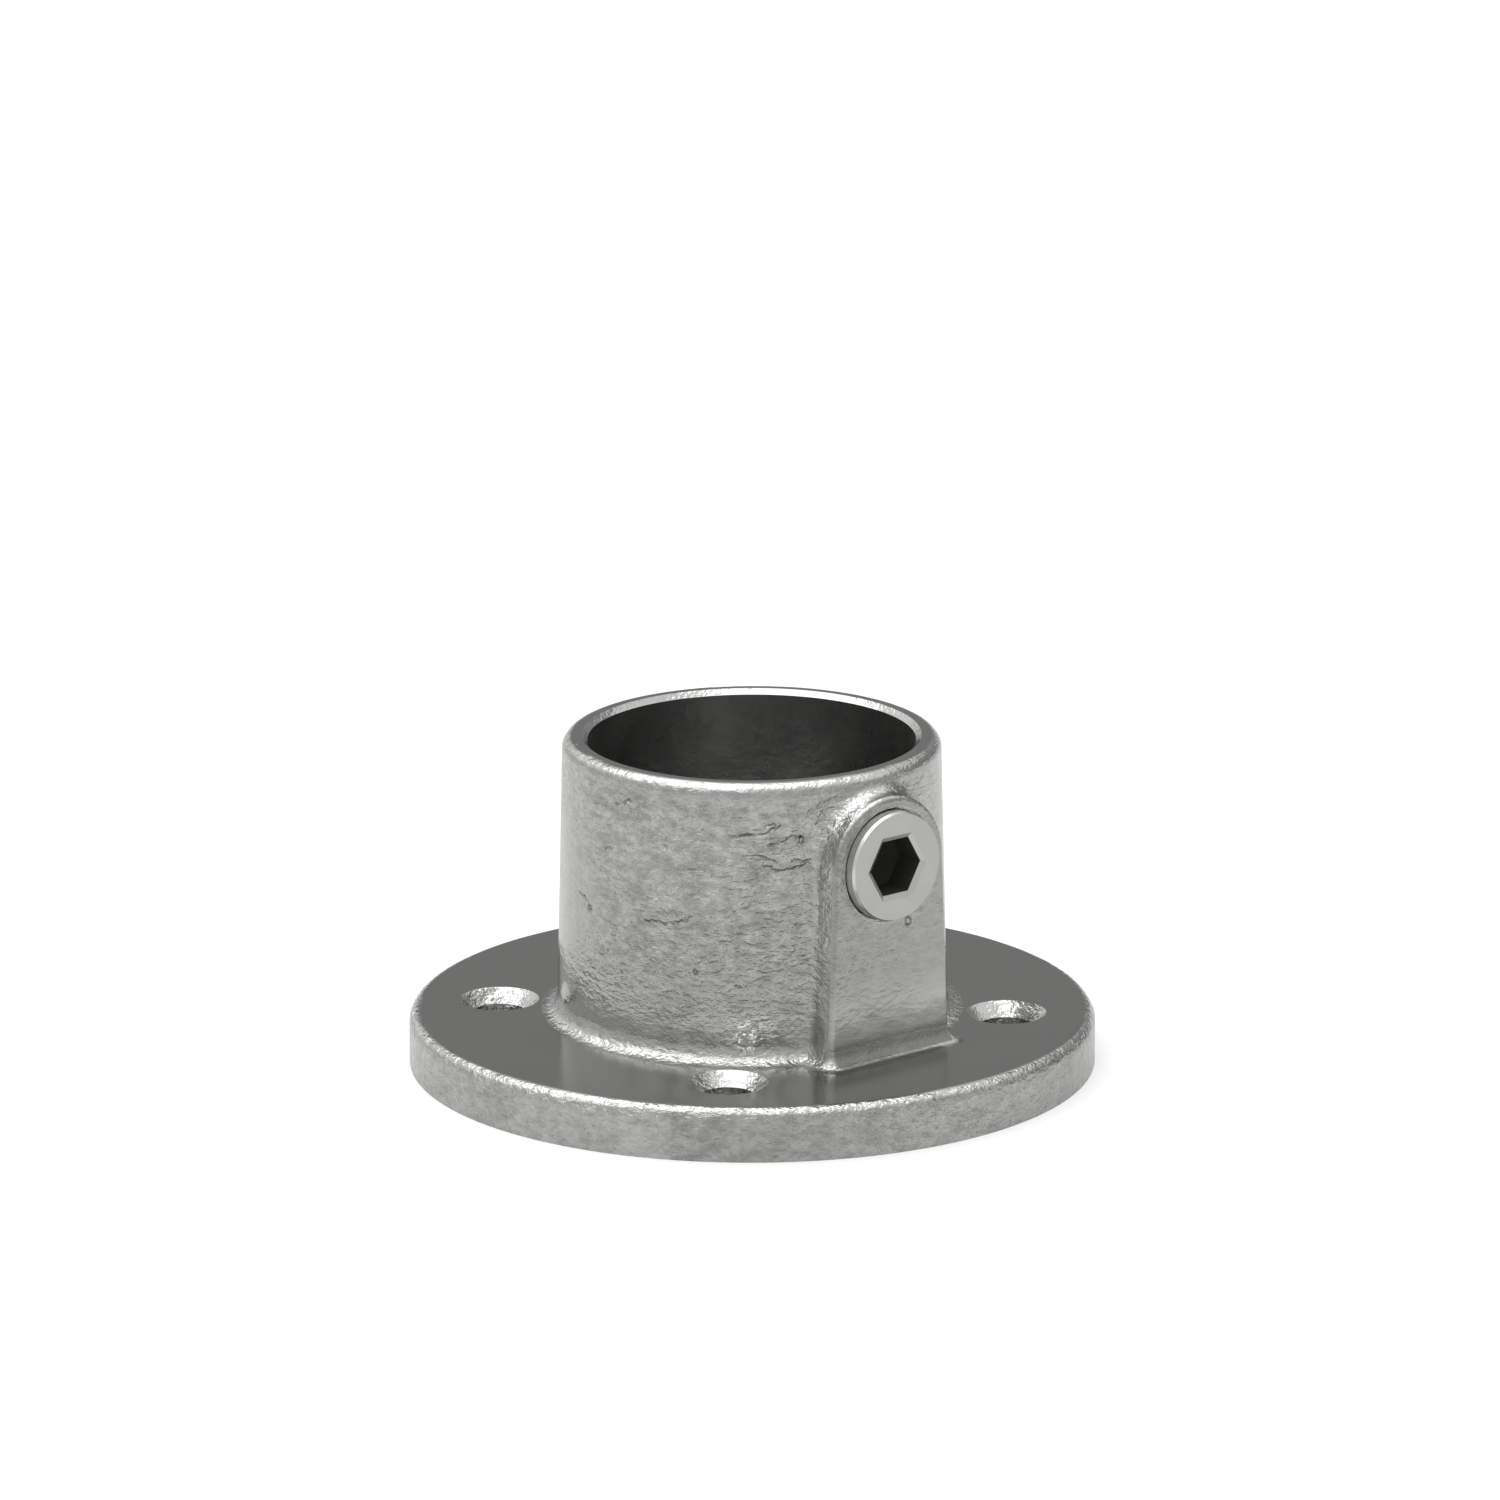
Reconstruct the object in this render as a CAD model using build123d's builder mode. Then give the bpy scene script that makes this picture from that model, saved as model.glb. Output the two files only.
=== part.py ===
from build123d import *
import os
from math import cos, radians, sin, tan

# Tube clamp base flange for a 48.3 mm tube, in millimetres.
#
# Frame: origin at the centre of the flange's underside, +Z up the tube's axis,
# and the set screw's axis along Y, with its hexagon socket facing -Y.

# Tube socket
tube_diameter = 48.3
tube_clearance = 0.5                # radial, to the cast bore
overall_height = 50.7
collar_wall = 3.75                  # at the collar's top
collar_draft = 1.35                 # degrees, widening downwards
collar_rim_fillet = 2.0
bore_mouth_chamfer = 0.8

# Stop ledge at the foot of the socket, with an open drain hole through it
ledge_height = 4.0
ledge_width = 4.0
ledge_chamfer = 1.0
drain_chamfer = 0.5

# Foot flange
flange_thickness = 8.1
flange_edge_fillet = 1.9
foot_fillet = 2.7

# Countersunk fixing holes, midway between the X and Y axes
hole_count = 4
hole_diameter = 8.0
countersink_diameter = 12.1
countersink_angle = 90
countersink_gap = 0.25              # from the countersink to the foot fillet
hole_rim_distance = 13.3            # from a hole's centre out to the flange's rim
first_hole_angle = 45

# Set screw boss: a flat pad on the collar, arched over the screw, with sides
# that flare down to the flange
boss_wall = 1.97                    # round the tapped hole
boss_drop = 2.8                     # from the collar's top down to the arch
pad_projection = 3.8                # beyond the collar's top radius
pad_side_draft = 2.5                # degrees, each side
pad_root_fillet = 2.4
pad_edge_fillet = 0.8
tapping_chamfer = 0.35

# Set screw, 3/8 inch parallel pipe thread, shown by its major diameter
screw_diameter = 16.66
thread_clearance = 0.1              # radial, between screw and tapped hole
screw_stand_out = 1.55              # outer face, beyond the pad
screw_tip_setback = 0.1             # tip held back behind the bore's wall
screw_rim_width = 0.25
screw_rim_depth = 0.5
screw_tip_chamfer = 1.0
key_size = 8.0                      # hexagon key, across flats
key_clearance = 0.3                 # across flats
key_depth = 5.0
key_bevel_width = 0.7
key_bevel_depth = 0.45
socket_cone_depth = 0.8
socket_cone_angle = 60              # degrees, from the screw's axis
cup_rim = 1.83                      # flat ring left round the cup
cup_depth = 1.2
cup_angle = 45                      # degrees, from the screw's axis

# Worked out from the sizes above: socket, flange and holes
bore_radius = tube_diameter / 2 + tube_clearance
drain_radius = bore_radius - ledge_width
collar_top_radius = bore_radius + collar_wall
collar_height = overall_height - flange_thickness
collar_foot_radius = collar_top_radius + collar_height * tan(radians(collar_draft))
countersink_radius = countersink_diameter / 2
hole_circle_radius = collar_foot_radius + foot_fillet + countersink_gap + countersink_radius
flange_radius = hole_circle_radius + hole_rim_distance

# Boss
tapped_radius = screw_diameter / 2 + thread_clearance
pad_arch_radius = tapped_radius + boss_wall
screw_height = overall_height - boss_drop - pad_arch_radius
pad_face_distance = collar_top_radius + pad_projection
side_draft = radians(pad_side_draft)
pad_shoulder_x = pad_arch_radius * cos(side_draft)
pad_shoulder_z = screw_height + pad_arch_radius * sin(side_draft)
pad_foot_x = pad_shoulder_x + (pad_shoulder_z - flange_thickness) * tan(side_draft)

# Set screw
screw_face_distance = pad_face_distance + screw_stand_out
screw_tip_distance = bore_radius + screw_tip_setback
screw_length = screw_face_distance - screw_tip_distance
key_radius = (key_size + key_clearance) / 2
cup_radius = screw_diameter / 2 - screw_tip_chamfer - cup_rim

with BuildPart() as flange_body:
    # Flange and tapered collar, turned as one section about the tube's axis
    with BuildSketch(Plane.XZ):
        with BuildLine():
            Polyline(
                (0, 0),
                (flange_radius, 0),
                (flange_radius, flange_thickness),
                (collar_foot_radius, flange_thickness),
                (collar_top_radius, overall_height),
                (0, overall_height),
                close=True,
            )
        make_face()
    revolve(axis=Axis.Z)

    # Flat pad: an arch over the screw, with straight flared sides
    with BuildSketch(Plane.XZ.offset(pad_face_distance)):
        with BuildLine():
            CenterArc(
                (0, screw_height), pad_arch_radius, pad_side_draft, 180 - 2 * pad_side_draft
            )
            Polyline(
                (-pad_shoulder_x, pad_shoulder_z),
                (-pad_foot_x, flange_thickness),
                (pad_foot_x, flange_thickness),
                (pad_shoulder_x, pad_shoulder_z),
            )
        make_face()
    extrude(amount=-pad_face_distance)

    # Cast fillets: pad to collar, the pad's own edge, then both to the flange
    fillet(flange_body.edges(Select.NEW), radius=pad_root_fillet)
    pad_face = flange_body.faces().filter_by(Axis.Y).sort_by(Axis.Y)[0]
    fillet(pad_face.edges().sort_by(Axis.Z)[1:], radius=pad_edge_fillet)
    flange_top = flange_body.faces().filter_by(Axis.Z).sort_by(Axis.Z)[1]
    fillet(flange_top.inner_wires()[0].edges(), radius=foot_fillet)

    # Rims of the collar and the flange
    collar_rim = flange_body.faces().sort_by(Axis.Z)[-1].edges()
    fillet(collar_rim, radius=collar_rim_fillet)
    flange_top = flange_body.faces().filter_by(Axis.Z).sort_by(Axis.Z)[1]
    fillet(flange_top.outer_wire().edges(), radius=flange_edge_fillet)

    # Socket bore down to the ledge, and the drain hole through it
    with BuildSketch(Plane.XY.offset(ledge_height)):
        Circle(bore_radius)
    extrude(amount=overall_height - ledge_height, mode=Mode.SUBTRACT)
    with BuildSketch():
        Circle(drain_radius)
    extrude(amount=ledge_height, mode=Mode.SUBTRACT)
    bore_mouth = flange_body.faces().sort_by(Axis.Z)[-1].inner_wires()[0]
    chamfer(bore_mouth.edges(), length=bore_mouth_chamfer)
    ledge_lip = flange_body.faces().filter_by(Axis.Z).group_by(Axis.Z)[1][0].inner_wires()[0]
    chamfer(ledge_lip.edges(), length=ledge_chamfer)
    drain_edge = flange_body.faces().sort_by(Axis.Z)[0].inner_wires()[0]
    chamfer(drain_edge.edges(), length=drain_chamfer)

    # Countersunk fixing holes
    with Locations(Plane.XY.offset(flange_thickness)):
        with PolarLocations(hole_circle_radius, hole_count, first_hole_angle):
            CounterSinkHole(
                hole_diameter / 2,
                countersink_radius,
                counter_sink_angle=countersink_angle,
            )

    # Tapped hole for the set screw, through the pad into the bore
    with BuildSketch(Plane.XZ.offset(pad_face_distance)):
        with Locations((0, screw_height)):
            Circle(tapped_radius)
    extrude(amount=-pad_face_distance, mode=Mode.SUBTRACT)
    pad_face = flange_body.faces().filter_by(Axis.Y).sort_by(Axis.Y)[0]
    chamfer(pad_face.inner_wires()[0].edges(), length=tapping_chamfer)

with BuildPart() as set_screw:
    # Shank, from its tip to its outer face
    with BuildSketch(Plane.XZ.offset(screw_tip_distance)):
        with Locations((0, screw_height)):
            Circle(screw_diameter / 2)
    extrude(amount=screw_length)
    chamfer(set_screw.faces().sort_by(Axis.Y)[-1].edges(), length=screw_tip_chamfer)
    screw_face = set_screw.faces().sort_by(Axis.Y)[0]
    chamfer(
        screw_face.edges(),
        length=screw_rim_width,
        length2=screw_rim_depth,
        reference=screw_face,
    )

    # Hexagon socket with flats above and below, and a bevelled mouth
    with BuildSketch(Plane.XZ.offset(screw_face_distance)):
        with Locations((0, screw_height)):
            RegularPolygon(key_radius, 6, major_radius=False)
    extrude(amount=-key_depth, mode=Mode.SUBTRACT)
    screw_face = set_screw.faces().sort_by(Axis.Y)[0]
    chamfer(
        screw_face.inner_wires()[0].edges(),
        length=key_bevel_width,
        length2=key_bevel_depth,
        reference=screw_face,
    )

    # Coned end of the socket
    with BuildSketch(Plane.XZ.offset(screw_face_distance - key_depth)):
        with Locations((0, screw_height)):
            Circle(key_radius)
    extrude(amount=-socket_cone_depth, taper=socket_cone_angle, mode=Mode.SUBTRACT)

    # Cup point
    with BuildSketch(Plane.XZ.offset(screw_tip_distance)):
        with Locations((0, screw_height)):
            Circle(cup_radius)
    extrude(amount=cup_depth, taper=cup_angle, mode=Mode.SUBTRACT)

flange_body.part.label = "flange_body"
set_screw.part.label = "set_screw"

os.makedirs("parts", exist_ok=True)
export_step(flange_body.part, "parts/flange_body.step")
export_step(set_screw.part, "parts/set_screw.step")
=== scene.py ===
import math
from types import SimpleNamespace

import bpy
from mathutils import Matrix, Vector


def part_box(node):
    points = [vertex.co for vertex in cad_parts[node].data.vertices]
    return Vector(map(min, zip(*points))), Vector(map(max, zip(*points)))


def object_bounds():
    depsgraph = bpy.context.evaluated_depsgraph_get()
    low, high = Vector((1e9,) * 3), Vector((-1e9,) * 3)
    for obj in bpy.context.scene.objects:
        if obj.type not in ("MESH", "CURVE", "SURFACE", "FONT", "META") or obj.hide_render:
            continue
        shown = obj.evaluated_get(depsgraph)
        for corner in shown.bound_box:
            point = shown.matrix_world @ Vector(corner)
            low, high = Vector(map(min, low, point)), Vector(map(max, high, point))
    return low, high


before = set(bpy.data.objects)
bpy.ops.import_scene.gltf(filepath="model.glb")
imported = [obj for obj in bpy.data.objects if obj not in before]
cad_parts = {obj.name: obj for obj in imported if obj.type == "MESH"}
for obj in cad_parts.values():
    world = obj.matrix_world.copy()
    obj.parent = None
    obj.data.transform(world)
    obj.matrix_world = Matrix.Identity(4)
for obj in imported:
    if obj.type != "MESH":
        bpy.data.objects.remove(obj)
cad_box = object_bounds()

MM = 0.001
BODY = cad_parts["flange_body"]
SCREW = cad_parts["set_screw"]


# ---------------------------------------------------------------- sizes from the frame

low, high = cad_box
height = high.z
screw_low, screw_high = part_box("set_screw")
screw_axis = (screw_low + screw_high) / 2


# ---------------------------------------------------------------- node helpers

class Graph:
    """A material's or the world's node tree, built by short calls that return output sockets."""

    def __init__(self, name=None, tree=None):
        if tree is None:
            self.material = bpy.data.materials.new(name)
            self.material.use_nodes = True
            tree = self.material.node_tree
            self.shader = tree.nodes["Principled BSDF"]
        self.tree = tree

    def node(self, kind, **inputs):
        made = self.tree.nodes.new(kind)
        for key, value in inputs.items():
            self.put(made.inputs[key], value)
        return made

    def put(self, socket, value):
        if isinstance(value, bpy.types.NodeSocket):
            self.tree.links.new(value, socket)
        else:
            socket.default_value = value

    def math(self, operation, a, b=0.0):
        made = self.tree.nodes.new("ShaderNodeMath")
        made.operation = operation
        self.put(made.inputs[0], a)
        self.put(made.inputs[1], b)
        return made.outputs[0]

    def chain(self, operation, result, *others):
        """One math operation taken along all the values."""
        for value in others:
            result = self.math(operation, result, value)
        return result

    def times(self, *values):
        return self.chain("MULTIPLY", *values)

    def plus(self, *values):
        return self.chain("ADD", *values)

    def most(self, *values):
        return self.chain("MAXIMUM", *values)

    def size(self, value):
        """A value without its sign."""
        return self.math("ABSOLUTE", value)

    def without(self, mask):
        """1 where a mask is 0, and 0 where it is 1."""
        return self.math("SUBTRACT", 1.0, mask)

    def vector(self, operation, a, b=(0.0, 0.0, 0.0)):
        made = self.tree.nodes.new("ShaderNodeVectorMath")
        made.operation = operation
        self.put(made.inputs[0], a)
        self.put(made.inputs[1], b)
        return made.outputs["Value" if operation in ("LENGTH", "DOT_PRODUCT") else 0]

    def split(self, vector):
        """The x, y and z of a vector."""
        made = self.tree.nodes.new("ShaderNodeSeparateXYZ")
        self.put(made.inputs[0], vector)
        return made.outputs

    def ramp(self, value, low_in, high_in, low_out=0.0, high_out=1.0, smooth=True):
        """value taken from low_in..high_in to low_out..high_out, held at the ends."""
        made = self.tree.nodes.new("ShaderNodeMapRange")
        made.interpolation_type = "SMOOTHSTEP" if smooth else "LINEAR"
        ends = (low_in, high_in, low_out, high_out)
        self.put(made.inputs["Value"], value)
        for key, end in zip(("From Min", "From Max", "To Min", "To Max"), ends):
            made.inputs[key].default_value = end
        return made.outputs[0]

    def span(self, value, low_in, high_in, low_out=0.0, high_out=1.0, smooth=True):
        """A ramp along a length, with its ends in mm."""
        return self.ramp(value, low_in * MM, high_in * MM, low_out, high_out, smooth)

    def blend(self, mask, outside, inside, smooth=True):
        """outside where a mask is 0, and inside where it is 1."""
        return self.ramp(mask, 0.0, 1.0, outside, inside, smooth)

    def around(self, noise, amount):
        """Noise spread over -amount..amount."""
        return self.ramp(noise, 0.3, 0.7, -amount, amount)

    def noise(self, where, size, detail=2.0, roughness=0.5, distortion=0.0):
        """Noise in 0..1 with features about size metres across."""
        made = self.node("ShaderNodeTexNoise", Vector=where, Scale=1.0 / size, Detail=detail)
        made.inputs["Roughness"].default_value = roughness
        made.inputs["Distortion"].default_value = distortion
        return made.outputs["Fac"]

    def noise_vector(self, where, size, detail):
        """Three noises in 0..1, as a vector."""
        made = self.node("ShaderNodeTexNoise", Vector=where, Scale=1.0 / size, Detail=detail)
        return made.outputs["Color"]

    def curve(self, value, points):
        """value in 0..1 looked up on straight runs between points in 0..1."""
        made = self.tree.nodes.new("ShaderNodeFloatCurve")
        line = made.mapping.curves[0]
        line.points[0].location, line.points[-1].location = points[0], points[-1]
        for point in points[1:-1]:
            line.points.new(*point)
        for point in line.points:
            point.handle_type = "VECTOR"
        made.mapping.update()
        self.put(made.inputs["Value"], value)
        return made.outputs[0]

    def distance(self, where, spot):
        return self.vector("LENGTH", self.vector("SUBTRACT", where, spot))

    def near(self, where, spot, reach):
        """1 at a spot, falling to 0 at reach metres from it."""
        return self.ramp(self.distance(where, spot), 0.0, reach, 1.0, 0.0)

    def bump(self, relief, depth, normal=None, strength=1.0):
        """A bump whose relief runs 0..1 over depth metres."""
        made = self.tree.nodes.new("ShaderNodeBump")
        made.inputs["Distance"].default_value = depth
        self.put(made.inputs["Strength"], strength)
        self.put(made.inputs["Height"], relief)
        if normal is not None:
            self.put(made.inputs["Normal"], normal)
        return made.outputs[0]

    def colour(self, tones):
        """A colour from its red, green and blue."""
        made = self.tree.nodes.new("ShaderNodeCombineColor")
        for socket, tone in zip(made.inputs, tones):
            self.put(socket, tone)
        return made.outputs[0]


# ---------------------------------------------------------------- marks on the casting

COLLAR_RADIUS = 28.9 * MM


def on_circle(azimuth, radius=1.0, rise=0.0):
    """A place on a circle about the tube's axis, by its angle in degrees round from the screw."""
    turn = math.radians(azimuth)
    return (radius * math.sin(turn), -radius * math.cos(turn), rise)


def on_collar(azimuth, rise):
    """A place on the collar's wall, rise mm above the underside."""
    return on_circle(azimuth, COLLAR_RADIUS, rise * MM)


# Cold-shut creases on the collar, each a run of angles round from the screw and
# heights in mm, in rows of runs that don't pass over each other
CREASE_ROWS = (
    (
        ((-102.1, 29.9), (-97.5, 29.3), (-95.5, 28.0)),
        ((-72.8, 28.5), (-69.4, 29.1), (-66.4, 28.7), (-62.0, 29.2), (-58.8, 29.8)),
        ((-41.6, 40.0), (-37.2, 40.0), (-34.2, 39.4), (-32.0, 39.0)),
        ((-26.7, 39.0), (-23.4, 39.0)),
    ),
    (
        ((-88.5, 38.5), (-85.9, 38.5)),
        ((-46.0, 43.0), (-40.8, 43.2), (-37.1, 43.2), (-34.2, 43.6), (-31.6, 44.3)),
    ),
    (
        ((-84.0, 45.5), (-78.8, 46.7)),
        ((-35.4, 38.4), (-32.4, 37.8), (-29.8, 37.7), (-26.0, 37.9), (-23.4, 38.9)),
    ),
    (
        ((-35.3, 44.6), (-32.4, 44.6)),
    ),
    (
        ((-34.2, 41.5), (-30.5, 42.1), (-27.4, 42.7), (-25.2, 42.4)),
    ),
)
CREASE_TURN = (-110.0, -20.0)           # the part of the collar that the rows cover, in degrees
CREASE_TOP = 60.0 * MM                  # above every height in the rows
CREASE_WIDTH = 0.36 * MM                # from the bottom out to each side
CREASE_END = 0.012                      # a run's fade at each end, as a share of CREASE_TURN

# Pits, each a groove round a low middle
PITS = (
    (on_collar(-24.6, 42.1), 0.50 * MM),
    (on_collar(-96.1, 28.2), 0.40 * MM),
    (on_collar(-81.5, 20.0), 0.20 * MM),
    (on_collar(-56.4, 21.9), 0.30 * MM),
    ((3.4 * MM, -32.2 * MM, 28.3 * MM), 0.60 * MM),
)
PIT_WIDTH = 0.28 * MM


def named_creases(g, place):
    """1 in the bottom of the named creases, 0 outside them."""
    x, y, z = g.split(place)
    azimuth = g.math("ARCTAN2", x, g.times(y, -1.0))
    first, last = CREASE_TURN
    share = g.ramp(azimuth, math.radians(first), math.radians(last), smooth=False)
    depth = 0.0
    for row in CREASE_ROWS:
        heights, fades = [], []
        for run in row:
            points = [((turn - first) / (last - first), rise * MM / CREASE_TOP) for turn, rise in run]
            start, end = points[0][0], points[-1][0]
            heights += points
            fades += [(start - CREASE_END, 0.0), (start, 1.0), (end, 1.0), (end + CREASE_END, 0.0)]
        middle = g.times(g.curve(share, heights), CREASE_TOP)
        off = g.size(g.math("SUBTRACT", z, middle))
        groove = g.times(g.ramp(off, 0.0, CREASE_WIDTH, 1.0, 0.0), g.curve(share, fades))
        depth = g.most(depth, groove)
    return depth


# ---------------------------------------------------------------- the casting's material

# The flange's top is at 8.1 mm, the foot's fillet ends at 10.8 mm, the rim's
# fillet starts at 48.7 mm, and the boss's face is at y = -32.2 mm

# Relief: sizes across, and depths
DRIFT_SIZE, DRIFT = 7.0 * MM, 2.0 * MM
SHAKE_SIZE, SHAKE = 1.3 * MM, 1.3 * MM
WRINKLE_SIZE, FOLD_SIZE, SKIN_DEPTH = 1.15 * MM, 2.8 * MM, 0.44 * MM
WRINKLE_FLATNESS, CREASE_FLATNESS = 1.8, 3.0
WAVE_SIZE, WAVE_DEPTH = 8.0 * MM, 0.30 * MM
GRIT_SIZE, GRIT_DEPTH = 0.45 * MM, 0.09 * MM
FAINT_CREASE_SIZE, FAINT_CREASE_PATCH, FAINT_CREASE = 4.2 * MM, 11.0 * MM, 0.28
MARK_DEPTH = 0.36 * MM

# How strong the skin's relief is where the zinc ran smoother
CALM_FOOT, CALM_FILLET = 0.12, 0.22
CALM_RIM = 0.45
CALM_BACK = 0.45
CALM_LEFT = 0.15
CALM_PAD = 0.42
CALM_FLANK = 0.40
CALM_BORE = 0.20
FOOT_SKIN = 0.80

# Metal colour, and what is added to it
ZINC = (0.350, 0.351, 0.346)
STREAK_SIZE, STREAK_TONE = 2.6 * MM, 0.070
# Painted shade in the wrinkles' hollows, and painted light on their crests
WRINKLE_SHADE_TONE = 0.030
FLANGE_SHARE = 0.65                     # of both, on the flange
CLOUD_SIZE, CLOUD_TONE = 11.0 * MM, 0.015
# Painted shade in the creases and pits
MARK_SHADE_TONE = 0.13
# Painted light: on upward faces, strong on the fillets to whiten their highlights and weak on level
# faces, and on the boss's flanks
FILLET_HIGHLIGHT_TONE, LEVEL_LIGHT_TONE = 0.20, 0.04
FLANK_LIGHT_TONE = 0.08
PAD_TONE = 0.035
# Painted shade along the boss's foot, with a painted highlight line in it
PAD_FOOT_SHADE_TONE, PAD_FOOT_HIGHLIGHT_TONE = 0.10, 0.28
PAD_EDGE_TONE = 0.05
# Painted light low on the collar and the boss
LOW_COLLAR_LIGHT, LOW_PAD_LIGHT = 0.03, 0.13
STAIN_SIZE, STAIN_TONE = 4.0 * MM, 0.09
# Painted reflection: bright flecks with darker specks, in one spot low on the collar
FLECK_SIZE, FLECK_DARK, FLECK_REFLECTION_TONE = 0.9 * MM, 0.06, 0.45
# Painted highlight on the edge round the tapped hole
HOLE_EDGE_HIGHLIGHT_TONE = 0.35

# Roughness: of the skin, its glossy spots and the fillets, its bounds, and what is
# added to it
ROUGH_SKIN, ROUGH_SPOTS, ROUGH_FILLETS = 0.28, 0.12, 0.15
ROUGH_LEAST, ROUGH_MOST = 0.10, 0.30
LOW_COLLAR_ROUGH, LOW_PAD_ROUGH = -0.04, 0.08
CLOUD_ROUGH = 0.02


def casting_zones(g):
    """Zones of the casting, each 1 inside and 0 outside, and the values they are made from."""
    place = g.node("ShaderNodeTexCoord").outputs["Object"]
    facing = g.split(g.node("ShaderNodeNewGeometry").outputs["Normal"])
    sideways, upward = g.size(facing["X"]), g.size(facing["Z"])
    x, y, z = g.split(place)
    flat_place = g.vector("MULTIPLY", place, (1.0, 1.0, 0.0))
    from_axis = g.vector("LENGTH", flat_place)
    outward = g.vector("NORMALIZE", flat_place)
    level = g.ramp(upward, 0.90, 0.985)
    walls = g.without(level)
    pad = g.times(
        g.span(y, -31.4, -30.2, 1.0, 0.0),
        g.span(y, -36.5, -36.0),
        g.span(g.size(x), 17.0, 18.0, 1.0, 0.0),
        g.span(z, 8.10, 8.14),
    )
    pad_foot = g.times(pad, g.span(z, 11.0, 12.0, 1.0, 0.0), g.ramp(sideways, 0.05, 0.30, 1.0, 0.0))
    return SimpleNamespace(
        place=place, y=y, z=z, sideways=sideways, from_axis=from_axis, outward=outward,
        level=level,
        walls=walls,
        outside=g.span(from_axis, 24.6, 24.9),
        flange=g.span(from_axis, 34.5, 35.5),
        pad=pad,
        pad_foot=pad_foot,
        flank=g.times(g.ramp(sideways, 0.80, 0.97), g.span(y, -27.0, -25.5, 1.0, 0.0)),
        fillets=g.times(g.ramp(upward, 0.45, 0.75), g.without(g.times(pad_foot, walls))),
        foot=g.times(g.span(z, 8.10, 8.13), g.span(z, 9.4, 10.4, 1.0, 0.0), g.without(pad_foot)),
        low=g.times(walls, g.span(z, 13.0, 22.0, 1.0, 0.0), g.span(z, 10.0, 11.5)),
    )


def calmness(g, on):
    """How much of its relief the skin keeps: less at the foot, the rim, the back and the boss."""
    calm = g.span(on.z, 11.0, 26.0, CALM_FOOT, 1.0)
    calm = g.plus(calm, g.span(on.z, 10.0, 11.5, CALM_FILLET, 0.0))
    calm = g.most(calm, on.flange)
    wrinkled_side = g.vector("DOT_PRODUCT", on.outward, on_circle(-80.0))
    left_back = g.near(on.place, on_collar(-125.0, 28.0), 32.0 * MM)
    return g.times(
        calm,
        g.span(on.z, 47.2, 48.8, 1.0, CALM_RIM),
        g.ramp(wrinkled_side, -0.60, 0.40, CALM_BACK, 1.0),
        g.blend(left_back, 1.0, CALM_LEFT),
        g.blend(on.pad, 1.0, CALM_PAD),
        g.blend(on.flank, 1.0, CALM_FLANK),
        g.blend(on.outside, CALM_BORE, 1.0),
    )


def casting_skin(g, on):
    """The skin's fields, shared by its relief, its colour and its gloss."""
    # Wrinkles that lie flat along the walls and drift a little up and down
    squashed = g.vector("MULTIPLY", on.place, (1.0, 1.0, WRINKLE_FLATNESS))
    drift = g.vector("MULTIPLY", g.noise_vector(squashed, DRIFT_SIZE, 1.0), (DRIFT,) * 3)
    warped = g.vector("ADD", squashed, drift)

    # Creases: the named ones, shaken out of their straight runs, and faint ones in
    # patches everywhere
    shake = g.noise_vector(on.place, SHAKE_SIZE, 2.5)
    shake = g.vector("MULTIPLY", g.vector("SUBTRACT", shake, (0.5, 0.5, 0.5)), (SHAKE,) * 3)
    shaken = g.vector("ADD", on.place, shake)
    flat = g.vector("ADD", g.vector("MULTIPLY", on.place, (1.0, 1.0, CREASE_FLATNESS)), drift)
    field = g.noise(flat, FAINT_CREASE_SIZE, 3.0, 0.6)
    faint = g.ramp(g.size(g.math("SUBTRACT", field, 0.5)), 0.0, 0.025, 1.0, 0.0)
    patches = g.ramp(g.noise(on.place, FAINT_CREASE_PATCH, 1.0), 0.58, 0.72, 0.0, FAINT_CREASE)
    patches = g.times(patches, g.span(on.z, 12.0, 16.0))

    pits = 0.0
    for spot, radius in PITS:
        ring = g.size(g.math("SUBTRACT", g.distance(shaken, spot), radius))
        pits = g.plus(pits, g.ramp(ring, 0.0, PIT_WIDTH, 1.0, 0.0))

    return SimpleNamespace(
        warped=warped,
        wrinkles=g.noise(warped, WRINKLE_SIZE, 2.0, 0.55, 0.3),
        creases=g.most(named_creases(g, shaken), g.times(faint, patches)),
        pits=pits,
        calm=calmness(g, on),
        clouds=g.noise(on.place, CLOUD_SIZE, 3.0, 0.6),
    )


def casting_relief(g, on, skin):
    """The bumped normal: waves, then the skin's wrinkles, then grit, then creases and pits."""
    waves = g.noise(on.place, WAVE_SIZE, 2.0, 0.5)
    folds = g.noise(skin.warped, FOLD_SIZE, 1.0, 0.5)
    grit = g.noise(on.place, GRIT_SIZE, 1.0, 0.5)
    rough = g.most(g.times(on.walls, skin.calm), g.times(on.foot, FOOT_SKIN))
    gritty = g.most(g.span(on.z, 47.2, 48.5), g.span(on.z, 10.2, 11.5, 1.0, 0.0))
    gritty = g.most(g.times(gritty, on.walls, on.outside), on.foot)
    marks = g.plus(g.times(skin.creases, 0.50), g.times(skin.pits, 0.50))

    normal = g.bump(waves, WAVE_DEPTH, strength=g.blend(on.walls, 0.10, 1.0))
    relief = g.plus(skin.wrinkles, g.times(folds, 0.9))
    normal = g.bump(relief, SKIN_DEPTH, normal, g.blend(rough, 0.012, 1.0, smooth=False))
    normal = g.bump(grit, GRIT_DEPTH, normal, g.blend(gritty, 0.12, 1.0, smooth=False))
    return g.bump(g.without(marks), MARK_DEPTH, normal, g.times(on.walls, on.outside))


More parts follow.
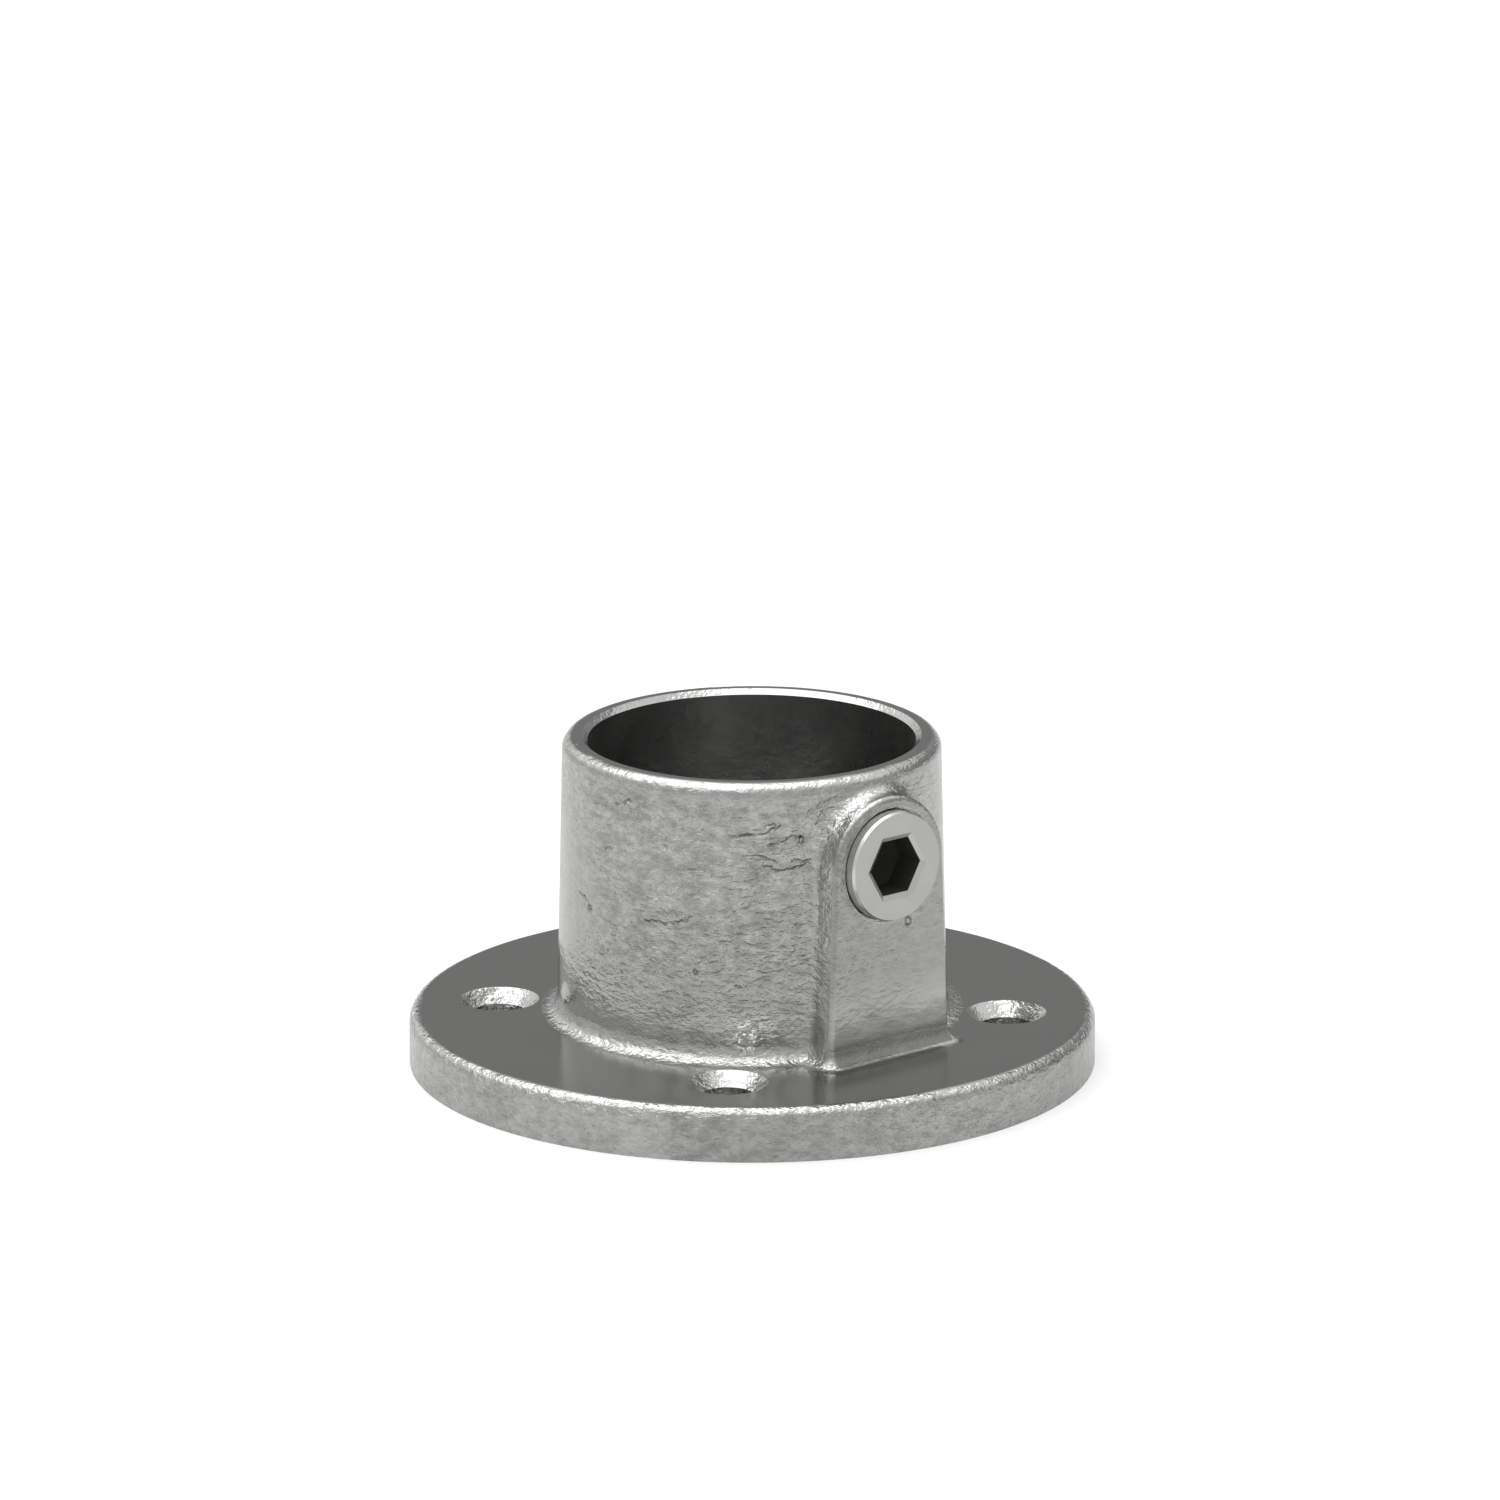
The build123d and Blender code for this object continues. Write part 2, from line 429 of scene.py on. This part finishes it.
def casting_tone(g, on, skin):
    """What is added to the zinc's grey."""
    # Streaks that lie flat like the wrinkles, clouds, painted shade in the wrinkles' hollows with
    # painted light on their crests, and painted shade in the creases and pits
    streaks = g.around(g.noise(skin.warped, STREAK_SIZE, 3.0, 0.6), STREAK_TONE)
    tone = g.plus(streaks, g.ramp(skin.wrinkles, 0.35, 0.65, -WRINKLE_SHADE_TONE, WRINKLE_SHADE_TONE))
    tone = g.times(tone, skin.calm, g.span(on.from_axis, 34.5, 35.5, 1.0, FLANGE_SHARE))
    tone = g.plus(tone, g.around(skin.clouds, CLOUD_TONE))
    tone = g.plus(tone, g.times(skin.creases, -MARK_SHADE_TONE), g.times(skin.pits, -MARK_SHADE_TONE))
    tone = g.times(tone, on.walls)

    # Painted light on what faces up, strongest on the fillets to whiten their highlights, and on the
    # boss's flanks against their shade
    painted_flank_light = g.ramp(g.times(on.flank, on.sideways), 0.985, 0.998, 0.0, FLANK_LIGHT_TONE)
    tone = g.plus(tone, g.times(on.fillets, g.blend(on.level, FILLET_HIGHLIGHT_TONE, LEVEL_LIGHT_TONE)), painted_flank_light)

    # The boss: darker on its face and edges, with a painted highlight line in a painted
    #     # shade band at its foot, which stand for a tighter fillet than the CAD's
    # Painted highlight line at the boss's foot
    line = g.times(on.pad_foot, on.walls, g.span(on.z, 8.35, 8.55, 1.0, 0.0))
    pad_edge = g.times(g.ramp(on.sideways, 0.20, 0.50), g.span(on.y, -31.3, -31.1, 1.0, 0.0))
    tone = g.plus(
        tone,
        g.times(on.pad, -PAD_TONE),
        g.times(on.pad_foot, -PAD_FOOT_SHADE_TONE),
        g.times(line, PAD_FOOT_HIGHLIGHT_TONE),
        g.times(pad_edge, -PAD_EDGE_TONE),
    )

    # Painted light low on the collar and the boss, against the dark reflection of the flange that they
    # mirror
    tone = g.plus(tone, g.times(on.low, g.blend(on.pad, LOW_COLLAR_LIGHT, LOW_PAD_LIGHT)))

    # Stains where the zinc pooled at the foot, and bright flecks low on the collar that are a painted
    # reflection
    pooled = g.ramp(g.vector("DOT_PRODUCT", on.outward, on_circle(-45.0)), 0.80, 0.95)
    pooled = g.times(on.low, g.without(on.pad), pooled)
    stains = g.ramp(g.noise(on.place, STAIN_SIZE, 3.0, 0.6), 0.45, 0.60, 0.0, -STAIN_TONE)
    # Painted reflection: bright flecks with darker specks between them
    flecks = g.ramp(g.noise(on.place, FLECK_SIZE, 2.0, 0.6), 0.52, 0.60, -FLECK_DARK, FLECK_REFLECTION_TONE)
    flecks = g.times(flecks, g.ramp(g.near(on.place, on_collar(-40.2, 12.3), 4.5 * MM), 0.2, 0.7))
    tone = g.plus(tone, g.times(stains, pooled), flecks)

    # Painted highlight on the edge round the tapped hole
    off_screw = g.vector("SUBTRACT", on.place, tuple(screw_axis))
    off_screw = g.vector("LENGTH", g.vector("MULTIPLY", off_screw, (1.0, 0.0, 1.0)))
    painted_hole_highlight = g.times(g.span(off_screw, 8.78, 8.84, 1.0, 0.0), g.span(on.y, -31.80, -31.70, 1.0, 0.0))
    return g.plus(tone, g.times(painted_hole_highlight, HOLE_EDGE_HIGHLIGHT_TONE))


def casting_gloss(g, on, skin):
    """Roughness: glossier low on the collar's left and round the flecks, and on the fillets."""
    glossy = g.ramp(g.vector("DOT_PRODUCT", on.outward, on_circle(-115.0)), 0.80, 0.95)
    glossy = g.most(glossy, g.ramp(g.near(on.place, on_collar(-40.0, 12.0), 9.0 * MM), 0.3, 0.7))
    rough = g.blend(g.times(glossy, on.low), ROUGH_SKIN, ROUGH_SPOTS)
    rough = g.plus(rough, g.times(on.low, g.blend(on.pad, LOW_COLLAR_ROUGH, LOW_PAD_ROUGH)))
    rough = g.math("MINIMUM", rough, g.blend(on.fillets, ROUGH_MOST, ROUGH_FILLETS))
    return g.most(ROUGH_LEAST, g.plus(rough, g.around(skin.clouds, CLOUD_ROUGH)))


def galvanised_casting():
    """Dipped zinc over a sand-cast skin: wrinkled on the walls, smooth where the zinc lay flat."""
    g = Graph("galvanised_casting")
    on = casting_zones(g)
    skin = casting_skin(g, on)
    g.put(g.shader.inputs["Normal"], casting_relief(g, on, skin))
    tone = casting_tone(g, on, skin)
    g.put(g.shader.inputs["Base Color"], g.colour([g.plus(tone, base) for base in ZINC]))
    g.put(g.shader.inputs["Roughness"], casting_gloss(g, on, skin))
    g.shader.inputs["Metallic"].default_value = 1.0
    return g.material


# ---------------------------------------------------------------- the screw's material

STEEL = (0.400, 0.396, 0.385)
# Painted shade inside the hexagon socket: near black and not metallic
SOCKET_SHADE = (0.016, 0.019, 0.015)
SOCKET_ROUGH, STEEL_ROUGH = 0.85, 0.30
GRAIN_SIZE, GRAIN_DEPTH, GRAIN_TONE = 0.25 * MM, 0.004 * MM, 0.006
SOFT_SIZE, SOFT_TONE = 3.0 * MM, 0.008
# Painted highlight on the face's rim, a lighter bevel at the socket's mouth, and painted light on the
# shank against its shade
RIM_HIGHLIGHT_TONE, MOUTH_TONE, SHANK_LIGHT_TONE = 0.15, 0.06, 0.20


def plated_steel():
    """Satin zinc plate, with painted shade inside the hexagon socket."""
    g = Graph("plated_steel")
    place = g.node("ShaderNodeTexCoord").outputs["Object"]
    from_centre = g.vector("SUBTRACT", place, tuple(screw_axis))
    radius = g.vector("LENGTH", g.vector("MULTIPLY", from_centre, (1.0, 0.0, 1.0)))
    depth = g.math("SUBTRACT", g.split(from_centre)["Y"], screw_low.y - screw_axis.y)
    socket = g.times(
        g.span(radius, 5.3, 5.4, 1.0, 0.0, smooth=False),
        g.span(depth, 0.40, 0.50, smooth=False),
        g.span(depth, 6.20, 6.60, 1.0, 0.0, smooth=False),
    )

    grain = g.noise(place, GRAIN_SIZE, 2.0, 0.6)
    soft = g.noise(place, SOFT_SIZE, 2.0, 0.5)
    # Painted highlight on the rim, a lighter bevel at the socket's mouth, and painted light on the
    # shank
    rim = g.times(g.span(radius, 8.06, 8.12), g.span(depth, 0.48, 0.54, 1.0, 0.0))
    mouth = g.times(g.span(radius, 5.9, 6.0, 1.0, 0.0), g.span(depth, 0.02, 0.05))
    shank = g.times(g.span(radius, 8.20, 8.30), g.span(depth, 0.50, 0.60))
    tone = g.plus(
        g.around(soft, SOFT_TONE),
        g.around(grain, GRAIN_TONE),
        g.times(rim, RIM_HIGHLIGHT_TONE),
        g.times(mouth, MOUTH_TONE),
        g.times(shank, SHANK_LIGHT_TONE),
    )
    plate = g.without(socket)
    colour = g.colour([
        g.plus(g.times(g.plus(tone, steel), plate), g.times(socket, dark))
        for steel, dark in zip(STEEL, SOCKET_SHADE)
    ])
    g.put(g.shader.inputs["Base Color"], colour)
    g.put(g.shader.inputs["Roughness"], g.blend(socket, STEEL_ROUGH, SOCKET_ROUGH))
    g.put(g.shader.inputs["Normal"], g.bump(grain, GRAIN_DEPTH))
    g.put(g.shader.inputs["Metallic"], g.blend(socket, 1.0, 0.0))
    return g.material


def dress(piece, material):
    piece.data.materials.clear()
    piece.data.materials.append(material)


dress(BODY, galvanised_casting())
dress(SCREW, plated_steel())


# ---------------------------------------------------------------- floor, lights and camera

FLOOR_RADIUS = 6.0
FLOOR_GAP = 0.02 * MM                   # from the object's underside
FLOOR_COLOUR = (0.5, 0.5, 0.5, 1.0)
FLOOR_SHOWN = 0.51                      # added where it is seen, up to white with its lit colour

LAMP_DISTANCE = 1.2
LAMP_TILT = math.radians(14)            # from straight above
LAMP_TURN = math.radians(-105)          # from the camera's side, round to its left
LAMP_HALF = math.radians(36)
LAMP_RADIANCE = 1.2

WORLD_COLOUR = (1.0, 1.0, 0.99, 1.0)
WORLD_LOW, WORLD_HIGH = 0.74, 0.98      # at the horizon, and above it
WORLD_RIGHT = 0.70                      # share of it low on the camera's right
DARK_WALL = 0.305
DARK_WALL_TURN = math.radians(158)      # from the camera's side, round to its right
DARK_WALL_HALF = math.radians(36)
DARK_WALL_EDGE = math.radians(12)

VIEW_AZIMUTH = math.radians(-39.52)     # the camera stands to the left of the screw's axis
VIEW_ELEVATION = math.radians(15.843)
VIEW_ROLL = math.radians(-0.110)
VIEW_DISTANCE = 1.58844
VIEW_LENS = 254.49
VIEW_SENSOR = 36.0
VIEW_CLIP = 50.0
AIM_RISE = 0.9492                       # share of the object's height
AIM_LEFT = 0.26 * MM

across = Vector((math.cos(VIEW_AZIMUTH), math.sin(VIEW_AZIMUTH), 0.0))
towards = Vector((math.sin(VIEW_AZIMUTH), -math.cos(VIEW_AZIMUTH), 0.0))
upwards = Vector((0.0, 0.0, 1.0))


def round_from_camera(turn):
    """A level direction, turned from the camera's side to its right."""
    return towards * math.cos(turn) + across * math.sin(turn)


def pale_floor():
    """A white floor that shows white to the camera and in the metal, and keeps the object's shadow."""
    bpy.ops.mesh.primitive_circle_add(
        vertices=96, radius=FLOOR_RADIUS, fill_type="NGON", location=(0, 0, low.z - FLOOR_GAP)
    )
    floor = bpy.context.object
    floor.name = "floor"
    g = Graph("floor")
    g.shader.inputs["Base Color"].default_value = FLOOR_COLOUR
    g.shader.inputs["Roughness"].default_value = 1.0
    g.shader.inputs["Specular IOR Level"].default_value = 0.0
    g.shader.inputs["Emission Color"].default_value = (1.0, 1.0, 1.0, 1.0)
    path = g.node("ShaderNodeLightPath").outputs
    seen = g.most(path["Is Camera Ray"], path["Is Glossy Ray"], path["Is Transmission Ray"])
    g.put(g.shader.inputs["Emission Strength"], g.times(seen, FLOOR_SHOWN))
    dress(floor, g.material)


def soft_lamp(name, place, aim, radius, radiance):
    """A round softbox that looks radiance bright, whatever its size."""
    data = bpy.data.lights.new(name, "AREA")
    data.shape = "DISK"
    data.size = 2 * radius
    data.energy = radiance * math.pi * math.pi * radius ** 2
    lamp = bpy.data.objects.new(name, data)
    bpy.context.scene.collection.objects.link(lamp)
    lamp.location = place
    lamp.rotation_euler = (aim - place).to_track_quat("-Z", "Y").to_euler()


def studio_world():
    """Light grey all round, brighter above the horizon, with a dark grey wall behind the object."""
    world = bpy.data.worlds.new("studio")
    bpy.context.scene.world = world
    world.use_nodes = True
    g = Graph(tree=world.node_tree)
    looking = g.node("ShaderNodeTexCoord").outputs["Generated"]
    rise = g.split(looking)["Z"]
    level = g.vector("NORMALIZE", g.vector("MULTIPLY", looking, (1.0, 1.0, 0.0)))
    to_wall = g.vector("DOT_PRODUCT", level, tuple(round_from_camera(DARK_WALL_TURN)))
    dark = g.ramp(to_wall, math.cos(DARK_WALL_HALF + DARK_WALL_EDGE), math.cos(DARK_WALL_HALF))
    dark = g.times(dark, g.ramp(rise, 0.42, 0.62, 1.0, 0.0))
    right = g.ramp(g.vector("DOT_PRODUCT", level, tuple(across)), 0.4, 0.9)
    right = g.times(right, g.ramp(rise, 0.35, 0.60, 1.0, 0.0))
    light = g.ramp(rise, 0.12, 0.30, WORLD_LOW, WORLD_HIGH)
    light = g.times(light, g.blend(right, 1.0, WORLD_RIGHT))
    grey = g.plus(g.times(light, g.without(dark)), g.times(dark, DARK_WALL))
    back = world.node_tree.nodes["Background"]
    g.put(back.inputs["Strength"], grey)
    back.inputs["Color"].default_value = WORLD_COLOUR


def photo_camera():
    """The photograph's camera, solved from its outlines."""
    aim = upwards * AIM_RISE * height - across * AIM_LEFT
    back = towards * math.cos(VIEW_ELEVATION) + upwards * math.sin(VIEW_ELEVATION)
    above = back.cross(across)
    turned_right = across * math.cos(VIEW_ROLL) + above * math.sin(VIEW_ROLL)
    turned_above = above * math.cos(VIEW_ROLL) - across * math.sin(VIEW_ROLL)
    data = bpy.data.cameras.new("camera")
    data.sensor_width = VIEW_SENSOR
    data.lens = VIEW_LENS
    data.clip_end = VIEW_CLIP
    camera = bpy.data.objects.new("camera", data)
    bpy.context.scene.collection.objects.link(camera)
    turn = Matrix((turned_right, turned_above, back)).transposed()
    camera.matrix_world = Matrix.Translation(aim + back * VIEW_DISTANCE) @ turn.to_4x4()
    bpy.context.scene.camera = camera


pale_floor()
studio_world()
lamp_way = round_from_camera(LAMP_TURN) * math.sin(LAMP_TILT) + upwards * math.cos(LAMP_TILT)
lamp_radius = LAMP_DISTANCE * math.tan(LAMP_HALF)
soft_lamp("overhead", LAMP_DISTANCE * lamp_way, Vector(), lamp_radius, LAMP_RADIANCE)
photo_camera()
bpy.context.scene.view_settings.view_transform = "Standard"
